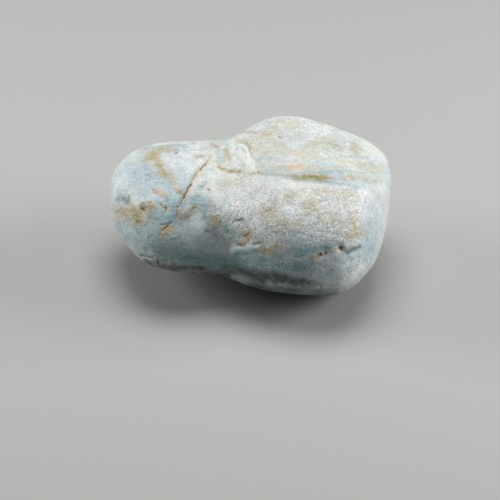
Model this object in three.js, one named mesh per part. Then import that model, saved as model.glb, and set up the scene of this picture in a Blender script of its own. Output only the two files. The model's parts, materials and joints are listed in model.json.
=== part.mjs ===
// A water-worn cobble of rough jadeite: one solid, lying on the flat that wear has given its
// underside. It has a broad rounded body to the right (+X) with a hump at its back, and a narrower
// lobe to the left, with a saddle between them above and a waist below. A seam channel, an open
// crack, a shallow chip, a broken ledge and small pits mark the side that faces the front (-Y).
//
// Units are millimetres, +Z is up. The origin is at the middle of the cobble's footprint, on the
// plane it rests on.
import * as THREE from "three";
import { mergeVertices } from "three/addons/utils/BufferGeometryUtils.js";

// ---- driving dimensions ------------------------------------------------------------------------

// The cobble's outline seen from the front, as [x, z], from the left tip over the top and back
// along the underside. What lies below z = 0 is worn away by the rest flat.
const FRONT_OUTLINE = [
  [-60, 29], [-60, 33], [-57, 41], [-49, 47.5], [-36, 50.5], [-22, 51.5], [-9, 54], [3, 60],
  [14, 64.5], [26, 65], [38, 61.5], [49, 56], [57, 47], [60, 36], [60, 30], [59.5, 22], [56, 11],
  [48, 3], [36, -1], [18, -1.8], [2, -1.5], [-10, 0.7], [-22, 4.5], [-36, 7], [-48, 11], [-57, 19],
  [-60, 25],
];

// Its outline seen from above, as [x, y], from the left tip round the back and along the front.
const PLAN_OUTLINE = [
  [-60, 9], [-60, 13], [-57, 26], [-50, 34], [-42, 38], [-30, 40], [-16, 39], [-6, 40], [4, 45],
  [11, 46], [18, 45], [30, 41], [42, 36], [51, 32], [57, 26], [60, 17], [60, 11], [57, -6],
  [53, -20], [47, -32], [38, -42], [27, -44], [16, -43], [5, -39], [-4, -33], [-13, -28],
  [-22, -31], [-32, -31], [-42, -28], [-50, -20], [-56, -9], [-59, 3],
];

// How square the quarters of a section across the long axis are: 2 is an ellipse, and a lower
// number is nearer a straight slope. The front quarter below the belly is the undercut one.
const SQUARENESS = { frontTop: 2.25, frontUnder: 1.88, backTop: 2.3, backUnder: 2.15 };

// The point that every radius of the cobble is measured from.
const HEART = new THREE.Vector3(4, 2, 30);

// Broad lumps (height above 0) and hollows (below 0) that round off into the body: the middle of
// each, how far out from it the skin is moved, and by how much.
const SWELLS = [
  { name: "front belly beside the crack", at: [-10, -24, 46], radius: 11, height: 0.9 },
  { name: "hollow under the waist", at: [-14, -26, 26], radius: 10, height: -0.9 },
  { name: "dip between saddle and hump", at: [-9, 14, 54], radius: 9, height: -0.7 },
  { name: "crown of the lobe", at: [-38, 4, 49], radius: 13, height: 0.5 },
  { name: "shoulder at the right end", at: [50, -14, 50], radius: 11, height: 0.8 },
  { name: "low front knuckle", at: [34, -40, 30], radius: 12, height: 0.6 },
  { name: "hollow in the back", at: [-14, 38, 28], radius: 14, height: -2.0 },
  { name: "lump high on the back", at: [24, 38, 46], radius: 12, height: 1.4 },
  { name: "hollow at the back of the right end", at: [50, 30, 26], radius: 12, height: -1.4 },
  { name: "lump at the back of the lobe", at: [-44, 33, 30], radius: 10, height: 1.0 },
  { name: "hollow under the lobe", at: [-34, 8, 7], radius: 14, height: -1.6 },
  { name: "lump under the back", at: [22, 30, 8], radius: 10, height: 1.0 },
];

// Faces that tumbling has worn flatter: which way each faces, how far it lies from the heart, and
// the width of the round that joins it to the body.
const WORN_FACES = [
  { name: "slope above the seam", facing: [0.06, -0.5, 0.86], reach: 37.6, round: 6 },
  { name: "front of the belly", facing: [0.1, -0.86, 0.5], reach: 46.0, round: 6 },
  { name: "back of the hump", facing: [0.3, 0.8, 0.52], reach: 44.5, round: 9 },
  { name: "low back of the lobe", facing: [-0.5, 0.78, -0.37], reach: 46.5, round: 14 },
  { name: "low right end", facing: [0.8, 0.35, -0.49], reach: 50.5, round: 14 },
];

// The seam runs from the saddle across the front of the hump to the right end, and the crack from
// the foot of the lobe up to the saddle.
const SEAM_PATH = [
  [-15, 1, 52], [-12, -2, 53], [-6, -7, 55], [0, -12, 57], [8, -17, 60], [16, -21, 62],
  [22, -22, 62], [30, -22, 61], [39, -20, 59], [47, -16, 54], [56, -2, 45],
];
const CRACK_PATH = [
  [-35, -28, 39], [-30, -23, 45], [-28, -17, 48], [-25, -9, 50], [-21, 1, 52], [-17, 7, 52],
];

// Grooves along a path on the skin: depth, half of the width, and the length of the run-out at
// each end.
const GROOVES = [
  {
    name: "dip that the seam lies in", depth: 0.5, halfWidth: 6, runOut: 18, path: SEAM_PATH,
  },
  {
    name: "seam channel", depth: 0.4, halfWidth: 1.6, runOut: 16, path: SEAM_PATH,
  },
  {
    name: "foot of the crack", depth: 0.8, halfWidth: 1.1, runOut: 6, path: CRACK_PATH,
  },
  {
    name: "vein beside the pits", depth: 0.6, halfWidth: 1.2, runOut: 2,
    path: [[39, -40, 37], [42, -38, 37.5], [45, -35, 36.5]],
  },
  {
    name: "split low on the lobe", depth: 0.7, halfWidth: 1.1, runOut: 3,
    path: [[-47, -22, 24], [-41, -28, 26], [-38, -29, 25], [-37, -27, 21]],
  },
  {
    name: "seam on the back", depth: 0.7, halfWidth: 2.2, runOut: 12,
    path: [[56, 14, 42], [44, 34, 38], [26, 43, 34], [8, 46, 31], [-8, 40, 30]],
  },
];

// Steps along a path: the skin to the left of the path, seen from outside with its first point
// behind the viewer, is moved by rise at the path and less and less within reach of it.
const STEPS = [
  {
    name: "high side of the crack", rise: 1.0, reach: 8, runOut: 8, path: CRACK_PATH,
  },
  {
    name: "chip by the saddle", rise: -1.2, reach: 7, runOut: 4,
    path: [[2, -12, 58], [1, -6, 58], [0, -1, 58], [-2, 5, 57], [-6, 13, 55]],
  },
  {
    name: "splinter beside the crack", rise: 0.8, reach: 3, runOut: 2,
    path: [[-26, -23, 44], [-24, -21, 45], [-22, -19, 46]],
  },
  {
    name: "broken ledge under the belly", rise: 0.9, reach: 4, runOut: 3,
    path: [[5, -37, 39], [-1, -35, 36], [-6, -32, 33], [-9, -30, 30]],
  },
  {
    name: "ledge along the bottom", rise: 1.0, reach: 5, runOut: 6,
    path: [[32, -42, 23], [20, -43, 25], [10, -38, 21], [2, -33, 17]],
  },
  {
    name: "ledge on the back", rise: -1.2, reach: 7, runOut: 6,
    path: [[-30, 38, 36], [-26, 39, 26], [-20, 38, 16]],
  },
];

// How far from its path a step still changes from one side to the other.
const STEP_EDGE = 0.6;

// Small pits: the middle of each, its radius and its depth.
const PITS = [
  { at: [36.5, -40, 39.5], radius: 1.6, depth: 1.4 },
  { at: [27.5, -42.5, 37.5], radius: 1.3, depth: 1.0 },
  { at: [30.5, -42, 38.5], radius: 1.2, depth: 1.0 },
  { at: [-43, -18, 44], radius: 1.4, depth: 0.9 },
  { at: [-35, -21, 45], radius: 1.2, depth: 0.8 },
  { at: [-35, -26, 40], radius: 1.5, depth: 0.8 },
  { at: [-23, -20, 46], radius: 1.2, depth: 0.7 },
  { at: [18, 44, 40], radius: 1.6, depth: 1.0 },
  { at: [38, 34, 22], radius: 1.5, depth: 0.9 },
];

// The mesh: how finely the first sphere is cut, the longest edge that is left on small relief, and
// how far the middle of any edge may lie off the skin.
const FIRST_DETAIL = 12;
const RELIEF_EDGE = 1.9;
const EDGE_TOLERANCE = 0.16;

// ---- outlines ----------------------------------------------------------------------------------

const OUTLINE_STEPS = 900;

// The low and high edge of a closed outline as functions of x.
function edgesOf(outline) {
  const curve = new THREE.CatmullRomCurve3(
    outline.map(([x, h]) => new THREE.Vector3(x, h, 0)), true, "centripetal");
  const points = curve.getPoints(OUTLINE_STEPS).slice(0, -1);
  const byX = (a, b) => a.x - b.x;
  const leftTip = points.indexOf([...points].sort(byX)[0]);
  const round = [...points.slice(leftTip), ...points.slice(0, leftTip)];
  const rightTip = round.indexOf([...round].sort(byX).at(-1));
  const there = round.slice(0, rightTip + 1);
  const back = [...round.slice(rightTip), round[0]].reverse();
  return { high: heightAlong(there), low: heightAlong(back) };
}

// Straight-line reading of a run of points that goes from left to right.
function heightAlong(points) {
  return (x) => {
    let [before, after] = [0, points.length - 1];
    while (after - before > 1) {
      const i = (before + after) >> 1;
      if (points[i].x > x) after = i;
      else before = i;
    }
    const [a, b] = [points[before], points[after]];
    const t = THREE.MathUtils.clamp((x - a.x) / Math.max(b.x - a.x, 1e-9), 0, 1);
    return a.y + (b.y - a.y) * t;
  };
}

const front = edgesOf(FRONT_OUTLINE);
const plan = edgesOf(PLAN_OUTLINE);
const leftEnd = Math.min(...FRONT_OUTLINE.map(([x]) => x));
const rightEnd = Math.max(...FRONT_OUTLINE.map(([x]) => x));

// ---- worn body ---------------------------------------------------------------------------------

// 1 on the lofted skin, less inside it: each section is a superellipse between the two outlines.
function depthShare(p) {
  if (p.x <= leftEnd || p.x >= rightEnd) return Infinity;
  const [yLow, yHigh, zLow, zHigh] =
    [plan.low(p.x), plan.high(p.x), front.low(p.x), front.high(p.x)];
  const across = (p.y - (yLow + yHigh) / 2) / Math.max((yHigh - yLow) / 2, 1e-6);
  const up = (p.z - (zLow + zHigh) / 2) / Math.max((zHigh - zLow) / 2, 1e-6);
  const squareness = across < 0
    ? (up > 0 ? SQUARENESS.frontTop : SQUARENESS.frontUnder)
    : (up > 0 ? SQUARENESS.backTop : SQUARENESS.backUnder);
  return Math.abs(across) ** squareness + Math.abs(up) ** squareness;
}

// The radius from the heart to the lofted skin.
function loftRadius(direction) {
  let [inside, outside] = [0, 120];
  const p = new THREE.Vector3();
  for (let i = 0; i < 24; i++) {
    const middle = (inside + outside) / 2;
    if (depthShare(p.copy(direction).multiplyScalar(middle).add(HEART)) < 1) inside = middle;
    else outside = middle;
  }
  return inside;
}

// ---- worn faces and relief ---------------------------------------------------------------------

const { smoothstep } = THREE.MathUtils;
const toPoint = ([x, y, z]) => new THREE.Vector3(x, y, z);

// The lesser of two radii, with a round of the given width where they meet.
function roundedMin(a, b, width) {
  const overlap = Math.max(width - Math.abs(a - b), 0) / width;
  return Math.min(a, b) - overlap * overlap * width / 4;
}

const wornFaces = WORN_FACES.map((face) => ({ ...face, facing: toPoint(face.facing).normalize() }));

// The body before its relief: the loft cut back by the worn faces.
function bodyPoint(direction) {
  let radius = loftRadius(direction);
  for (const { facing, reach, round } of wornFaces) {
    const share = direction.dot(facing);
    if (share > 0.3) radius = roundedMin(radius, reach / share, round);
  }
  return direction.clone().multiplyScalar(radius).add(HEART);
}

// A path or a place given near the skin is moved along its radius onto the skin.
const onSkin = (place) => bodyPoint(toPoint(place).sub(HEART).normalize());
const pathOnSkin = (path) => new THREE.CatmullRomCurve3(path.map(onSkin)).getSpacedPoints(48);

const swells = SWELLS.map((swell) => ({ ...swell, at: onSkin(swell.at) }));
const pits = PITS.map((pit) => ({ ...pit, at: onSkin(pit.at) }));
const grooves = GROOVES.map((groove) => ({ ...groove, points: pathOnSkin(groove.path) }));
const steps = STEPS.map((step) => ({ ...step, points: pathOnSkin(step.path) }));

// Where p lies beside a path: its distance, which is above 0 to the left of the path, and how much
// of the full depth is there, because both ends run out.
function besidePath(p, { points, runOut }) {
  let [nearest, at] = [Infinity, 0];
  points.forEach((q, i) => {
    const d = q.distanceToSquared(p);
    if (d < nearest) [nearest, at] = [d, i];
  });
  const i = THREE.MathUtils.clamp(at, 1, points.length - 2);
  const along = points[i + 1].clone().sub(points[i - 1]).normalize();
  const outward = points[at].clone().sub(HEART).normalize();
  const off = p.clone().sub(points[at]);
  const side = Math.sign(outward.cross(along).dot(off)) || 1;
  const spacing = points[1].distanceTo(points[0]);
  const alongOff = off.dot(along);
  const run = at * spacing + alongOff;
  const length = (points.length - 1) * spacing;
  const share = smoothstep(Math.min(run, length - run), 0, runOut);
  return { distance: side * Math.sqrt(Math.max(nearest - alongOff * alongOff, 0)), share };
}

// How far the relief moves the skin outward at p.
function relief(p) {
  let height = 0;
  for (const { at, radius, height: swell } of swells) {
    height += swell * Math.exp(-p.distanceToSquared(at) / radius ** 2);
  }
  for (const groove of grooves) {
    const { distance, share } = besidePath(p, groove);
    const t = Math.min(Math.abs(distance) / groove.halfWidth, 1);
    height -= groove.depth * share * (1 - t * t) ** 2;
  }
  for (const step of steps) {
    const { distance, share } = besidePath(p, step);
    const side = smoothstep(distance, -STEP_EDGE, STEP_EDGE);
    height += step.rise * share * side * smoothstep(step.reach - distance, 0, step.reach);
  }
  for (const { at, radius, depth } of pits) {
    const t = Math.min(p.distanceTo(at) / (1.4 * radius), 1);
    height -= depth * (1 - t * t) ** 2;
  }
  return height;
}

// The finished skin in a direction from the heart, cut off at the rest plane.
function skinPoint(direction) {
  const p = bodyPoint(direction);
  p.addScaledVector(direction, relief(p));
  if (p.z < 0) p.copy(HEART).addScaledVector(direction, -HEART.z / direction.z).setZ(0);
  return p;
}

// True where the skin has small relief: on a narrow groove, at a step or on a pit.
function onSmallRelief(p) {
  const nearPath = (item, width) => {
    const { distance, share } = besidePath(p, item);
    return share > 0.05 && Math.abs(distance) < width;
  };
  return grooves.some((g) => g.halfWidth < 4 && nearPath(g, g.halfWidth + 0.5))
    || steps.some((s) => nearPath(s, STEP_EDGE + 0.8))
    || pits.some(({ at, radius }) => p.distanceTo(at) < 1.5 * radius);
}

// ---- mesh --------------------------------------------------------------------------------------

// A sphere cut into even triangles, drawn out to about the proportions of the cobble.
const sphere = new THREE.IcosahedronGeometry(1, FIRST_DETAIL).scale(60, 44, 33);
sphere.deleteAttribute("normal");
sphere.deleteAttribute("uv");
const even = mergeVertices(sphere, 1e-3);
const directions = [];
const vertices = [];
for (let i = 0; i < even.getAttribute("position").count; i++) {
  addVertex(new THREE.Vector3().fromBufferAttribute(even.getAttribute("position"), i));
}
let triangles = [];
for (let i = 0; i < even.index.count; i += 3) triangles.push([...even.index.array.slice(i, i + 3)]);

function addVertex(outward) {
  directions.push(outward.normalize());
  vertices.push(skinPoint(outward));
  return vertices.length - 1;
}

const key = (a, b) => (a < b ? `${a} ${b}` : `${b} ${a}`);
const length = (a, b) => vertices[a].distanceTo(vertices[b]);
const middleOf = (a, b) => vertices[a].clone().lerp(vertices[b], 0.5);

// How far the middle of an edge lies off the skin.
const knownOffsets = new Map();
function offSkin(a, b) {
  const edge = key(a, b);
  if (!knownOffsets.has(edge)) {
    const middle = middleOf(a, b);
    knownOffsets.set(edge, skinPoint(middle.clone().sub(HEART).normalize()).distanceTo(middle));
  }
  return knownOffsets.get(edge);
}

// One round of refining: an edge that is too long for the relief it crosses, or too far off the
// skin, is halved with the longest edge of each triangle it belongs to, so that all stay well shaped.
function refine() {
  const turned = triangles.map(([a, b, c]) => {
    const [ab, bc, ca] = [length(a, b), length(b, c), length(c, a)];
    if (ab >= bc && ab >= ca) return [a, b, c];
    return bc >= ca ? [b, c, a] : [c, a, b];
  });
  const halved = new Map();
  for (const [a, b] of turned) {
    const coarse = length(a, b) > RELIEF_EDGE && onSmallRelief(middleOf(a, b));
    if (coarse || (length(a, b) > 1 && offSkin(a, b) > EDGE_TOLERANCE)) halved.set(key(a, b), null);
  }
  for (let before = -1; before !== halved.size;) {
    before = halved.size;
    for (const [a, b, c] of turned) {
      if (halved.has(key(b, c)) || halved.has(key(c, a))) halved.set(key(a, b), null);
    }
  }
  for (const edge of halved.keys()) {
    const [a, b] = edge.split(" ").map(Number);
    halved.set(edge, addVertex(middleOf(a, b).sub(HEART)));
  }
  const cut = (a, b, apex) => {
    const m = halved.get(key(a, b));
    return m === undefined ? [[a, b, apex]] : [[a, m, apex], [m, b, apex]];
  };
  triangles = turned.flatMap(([a, b, c]) => {
    const m = halved.get(key(a, b));
    return m === undefined ? [[a, b, c]] : [...cut(b, c, m), ...cut(c, a, m)];
  });
  return halved.size;
}

// One round of turning: an edge becomes the other diagonal of its two triangles where that lies
// nearer the skin and leaves both triangles well shaped.
function turnEdges() {
  const owner = new Map();
  triangles.forEach(([a, b, c], i) => {
    for (const [from, to] of [[a, b], [b, c], [c, a]]) owner.set(`${from} ${to}`, i);
  });
  const changed = new Set();
  for (const [edge, i] of owner) {
    const [a, b] = edge.split(" ").map(Number);
    const j = owner.get(`${b} ${a}`);
    if (a > b || changed.has(i) || changed.has(j)) continue;
    const c = triangles[i].find((k) => k !== a && k !== b);
    const d = triangles[j].find((k) => k !== a && k !== b);
    if (owner.has(`${c} ${d}`) || owner.has(`${d} ${c}`)) continue;
    if (offSkin(c, d) > offSkin(a, b) - 0.02) continue;
    if (fullness(a, d, c) < 0.3 || fullness(d, b, c) < 0.3) continue;
    triangles[i] = [a, d, c];
    triangles[j] = [d, b, c];
    changed.add(i).add(j);
  }
  return changed.size;
}

// Height over longest edge of a triangle, below 0 where it faces into the body.
function fullness(a, b, c) {
  const [p, q, r] = [a, b, c].map((k) => vertices[k]);
  const normal = q.clone().sub(p).cross(r.clone().sub(p));
  const longest = Math.max(length(a, b), length(b, c), length(c, a));
  return Math.sign(normal.dot(p.clone().sub(HEART))) * normal.length() / longest ** 2;
}

for (let round = 0; round < 8 && refine() > 0; round++);
for (let round = 0; round < 6 && turnEdges() > 0; round++);

const skin = new THREE.BufferGeometry();
skin.setAttribute("position", new THREE.Float32BufferAttribute(vertices.flatMap((p) => [...p]), 3));
skin.setIndex(triangles.flat());

// The origin goes to the middle of the footprint.
skin.computeBoundingBox();
const middle = skin.boundingBox.getCenter(new THREE.Vector3());
skin.translate(-middle.x, -middle.y, 0);

const material = new THREE.MeshStandardMaterial({ color: 0xbac6c2, roughness: 0.55, metalness: 0 });
const cobble = new THREE.Mesh(skin, material);
cobble.name = "cobble";
const part = new THREE.Group();
part.add(cobble);
export default part;
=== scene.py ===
"""A water-worn cobble of rough jadeite, resting on a pale studio floor.

The frame's solid gives the stone its size and main shape. Here its skin is smoothed, cut with the
fine relief that wear and weather leave, and given its mineral colours. Sizes are in metres unless
a name or a comment says mm.
"""
import json
import math

import bpy
import numpy as np
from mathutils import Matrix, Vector

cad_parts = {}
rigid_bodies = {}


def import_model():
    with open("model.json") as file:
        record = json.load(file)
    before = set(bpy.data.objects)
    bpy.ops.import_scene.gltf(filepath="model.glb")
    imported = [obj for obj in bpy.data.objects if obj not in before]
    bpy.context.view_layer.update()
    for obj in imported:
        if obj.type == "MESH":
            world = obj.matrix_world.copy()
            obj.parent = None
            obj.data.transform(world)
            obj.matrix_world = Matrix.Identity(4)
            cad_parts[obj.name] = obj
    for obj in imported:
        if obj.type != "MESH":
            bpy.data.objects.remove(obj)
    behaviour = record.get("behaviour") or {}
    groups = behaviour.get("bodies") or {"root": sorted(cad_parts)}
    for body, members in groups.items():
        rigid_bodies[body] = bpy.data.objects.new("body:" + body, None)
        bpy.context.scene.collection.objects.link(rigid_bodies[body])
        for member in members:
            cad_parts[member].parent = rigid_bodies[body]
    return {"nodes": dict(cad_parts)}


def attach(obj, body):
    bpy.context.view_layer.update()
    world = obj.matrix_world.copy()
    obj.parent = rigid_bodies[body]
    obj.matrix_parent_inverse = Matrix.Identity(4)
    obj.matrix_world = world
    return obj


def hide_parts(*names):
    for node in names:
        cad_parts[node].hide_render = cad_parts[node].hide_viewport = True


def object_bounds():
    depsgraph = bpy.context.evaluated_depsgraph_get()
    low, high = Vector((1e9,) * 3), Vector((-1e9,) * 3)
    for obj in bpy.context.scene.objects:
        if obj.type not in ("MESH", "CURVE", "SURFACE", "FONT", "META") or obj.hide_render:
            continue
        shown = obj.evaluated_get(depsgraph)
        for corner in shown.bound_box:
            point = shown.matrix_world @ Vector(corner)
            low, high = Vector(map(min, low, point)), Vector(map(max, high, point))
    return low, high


bl_info = {
    "name": "Rough Jadeite Cobble",
    "version": (1, 0, 0),
    "blender": (4, 5, 0),
    "location": "3D Viewport > Sidebar > Cobble",
    "description": "Builds a water-worn jadeite cobble and the studio it stands in",
    "category": "Add Mesh",
}

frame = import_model()
CAD_LOW, CAD_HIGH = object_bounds()
MM = 0.001

# ---- the drawing of the marks ------------------------------------------------------------------
#
# Marks on the front are laid out on a square sheet that is seen from the camera's side. Its
# middle is the point that the camera aims at, and a place on it is (across, down) from its upper
# left corner. Each mark has a name, a path on the sheet, the half of its width and a strength from
# 0 to 1. A path of one point is a round spot.
SHEET_SIDE = 500
SHEET_UNIT_MM = 0.42

# How much wider than it is drawn a stain has crept.
STAIN_SPREAD = {"ochre": 1.15, "rust": 1.25, "pink": 1.2, "slate": 1.2}

COOL_ZONES = [
    ("lobe", [(128, 190), (150, 188), (176, 196)], 34, 0.9),
    ("lobe, low", [(130, 225), (165, 232), (205, 240)], 26, 1),
    ("waist, low", [(185, 250), (225, 262)], 18, 1),
    ("low body", [(250, 270), (300, 270), (345, 262)], 22, 0.95),
    ("right end, low", [(372, 215), (368, 250)], 16, 0.9),
    ("lobe's top", [(140, 156), (190, 150)], 12, 0.5),
    ("saddle", [(212, 152), (222, 152)], 10, 0.6),
    ("left rim", [(113, 178), (113, 206)], 8, 1),
    ("crest", [(262, 122), (300, 119), (330, 129)], 12, 0.7),
    ("waist, middle", [(190, 226), (212, 244)], 15, 0.9),
    ("lobe, foot", [(135, 235), (170, 244), (205, 250)], 14, 0.9),
]

# Darker blue-grey: painted shade on the lobe's front and low side, the waist, the belly's middle,
# the low body and the bottom strip; the stone's own darker tone on the lobe's top, the lobe and the
# hump.
GREY_AND_SHADE_ZONES = [
    ("lobe front", [(140, 218), (158, 212), (180, 214)], 18, 0.8),
    ("lobe, low", [(140, 248), (165, 252), (200, 258)], 15, 0.35),
    ("waist", [(188, 200), (203, 206)], 16, 0.75),
    ("waist, low", [(190, 262), (240, 266)], 12, 0.4),
    ("belly, middle", [(240, 226), (300, 230)], 14, 0.15),
    ("low body", [(245, 264), (280, 270), (304, 272)], 12, 0.45),
    ("bottom strip", [(250, 288), (300, 292), (335, 294)], 8, 0.5),
    ("lobe's top", [(146, 147), (175, 146), (205, 149)], 14, 0.26),
    ("lobe", [(130, 172), (160, 178), (176, 186)], 24, 0.32),
    ("hump's right", [(330, 138), (362, 155), (376, 166)], 16, 0.4),
    ("hump", [(290, 138), (330, 140)], 16, 0.18),
]

PALE_ZONES = [
    ("belly", [(232, 196), (290, 200), (355, 204)], 32, 1),
    ("belly, upper", [(225, 188), (290, 190), (360, 196)], 12, 0.6),
    ("crest", [(262, 122), (300, 120), (330, 130)], 12, 0.7),
    ("belly, low", [(244, 222), (300, 226), (350, 226)], 22, 0.5),
    ("hump", [(262, 125), (300, 126), (350, 146), (378, 158)], 20, 0.45),
    ("lobe, north-west", [(128, 166), (118, 186)], 15, 0.4),
    ("lobe's top", [(150, 144), (200, 146), (225, 142)], 10, 0.4),
    ("left rim", [(112, 180), (112, 206)], 9, 0.6),
    ("right end", [(385, 180), (384, 220)], 14, 0.5),
    ("right knuckle", [(345, 286), (366, 264)], 12, 0.5),
    # Painted light: pale laid on the waist's hollow to lighten the shade there.
    ("waist", [(200, 226), (212, 240)], 14, 0.35),
    ("low body, right", [(325, 268), (345, 264)], 12, 0.45),
]

GRAINY_ZONES = [
    ("belly, low", [(232, 222), (290, 230), (345, 232)], 26, 1),
    ("belly", [(240, 200), (300, 204), (362, 206)], 24, 0.6),
    ("belly, left", [(215, 214), (232, 240)], 18, 0.7),
    ("lobe", [(128, 186), (156, 184)], 24, 0.45),
    ("lobe, low", [(126, 226), (150, 236)], 20, 0.4),
    ("low body", [(245, 264), (300, 266), (340, 262)], 18, 0.6),
    ("waist", [(204, 208), (212, 226)], 12, 0.3),
    ("right knuckle", [(352, 277), (372, 254)], 13, 0.8),
    ("hump", [(290, 130), (350, 155)], 16, 0.35),
    ("crest", [(270, 118), (300, 120), (330, 130)], 14, 0.7),
]

BANDED_ZONES = [
    ("over the seam", [(245, 162), (300, 164), (375, 173)], 18, 0.95),
    ("hump", [(255, 142), (320, 148), (360, 155)], 16, 0.5),
    ("below the seam", [(290, 184), (370, 190)], 12, 0.5),
    ("crest", [(244, 136), (284, 138)], 7, 0.35),
]

TEAL_ZONES = [
    ("lobe, beside the crack", [(168, 199), (174, 202), (180, 203)], 7.5, 0.6),
    ("lobe, beside the crack, west", [(160, 203), (168, 208)], 5, 0.35),
    ("lobe, under the crack", [(166, 214), (170, 218), (175, 224)], 6.5, 0.65),
    ("lobe front", [(152, 214), (162, 218)], 9, 0.35),
    ("lobe front, low", [(140, 228), (156, 230)], 10, 0.35),
    ("lobe, low front", [(137, 245), (148, 248), (160, 251)], 12, 0.12),
    ("lobe, low middle", [(160, 244), (180, 247)], 12, 0.12),
    ("lobe, low", [(140, 236), (160, 240), (180, 244)], 15, 0.24),
    ("lobe, foot", [(160, 256), (185, 258)], 8, 0.45),
    ("lobe's left end", [(116, 222), (126, 240)], 8, 0.25),
    ("right of the crack, high", [(208, 179), (201, 187)], 4.4, 0.26),
    ("right of the crack, low", [(201, 187), (196, 195), (194, 204)], 5.4, 0.36),
    ("waist", [(198, 212), (206, 218), (212, 226)], 8, 0.35),
    ("waist, low", [(180, 254), (205, 258), (225, 260), (240, 264)], 9, 0.6),
    ("waist, foot", [(175, 264), (205, 268), (232, 270)], 8, 0.5),
    ("under the belly fleck", [(226, 226), (229, 232), (230, 239)], 7.5, 0.55),
    ("belly, left", [(224, 206), (228, 222), (240, 236)], 11, 0.25),
    ("belly speck", [(236, 219), (243, 220)], 4, 0.5),
    ("belly, east of the speck", [(254, 230), (262, 238)], 7, 0.3),
    ("saddle a", [(218, 150), (220, 160)], 6, 0.32),
    ("saddle b", [(223, 143), (227, 146)], 4, 0.32),
    ("chip floor", [(236, 152), (241, 162), (247, 169)], 6, 0.12),
    ("band under the belly, left", [(238, 258), (256, 259), (275, 257)], 10, 0.6),
    ("band under the belly, middle", [(275, 255), (300, 252), (322, 248), (338, 245)], 8, 0.52),
    ("band under the belly, core", [(300, 252), (314, 249), (328, 247)], 5, 0.35),
    ("band under the belly, right", [(343, 250), (352, 250), (362, 247)], 5, 0.45),
    ("second faint vein", [(351, 258.8), (359.5, 256.4)], 1.8, 0.5),
    ("under the band", [(258, 266), (285, 266), (310, 265)], 11, 0.5),
    ("below the seam", [(294, 180), (312, 181), (328, 182)], 3, 0.3),
    ("below the seam, right", [(326, 183), (342, 184.5), (362, 186.5)], 3.6, 0.38),
    ("over the seam, left", [(250, 160), (262, 159), (274, 158)], 4.5, 0.22),
    ("over the seam, middle", [(306, 172), (324, 172.5), (342, 171.5)], 3.2, 0.34),
    ("over the seam, right", [(342, 171), (360, 172), (375, 174)], 3, 0.25),
    ("right end, low", [(366, 228), (372, 244), (366, 258)], 10, 0.2),
    ("left end", [(112, 180), (112, 196)], 6, 0.18),
    ("lobe, north", [(150, 168), (166, 182)], 7, 0.1),
    ("lobe, east of the stain", [(166, 180), (170, 190)], 5, 0.3),
    ("bottom, left", [(250, 284), (275, 288), (300, 290)], 7, 0.3),
    ("broken ledge, under", [(237, 252.5), (248, 252), (261, 250.5)], 5.5, 0.7),
    ("broken ledge, between", [(243, 248), (254, 247.6)], 3.2, 0.6),
    ("low body, right knuckle", [(330, 276), (348, 270)], 8, 0.15),
]

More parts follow.
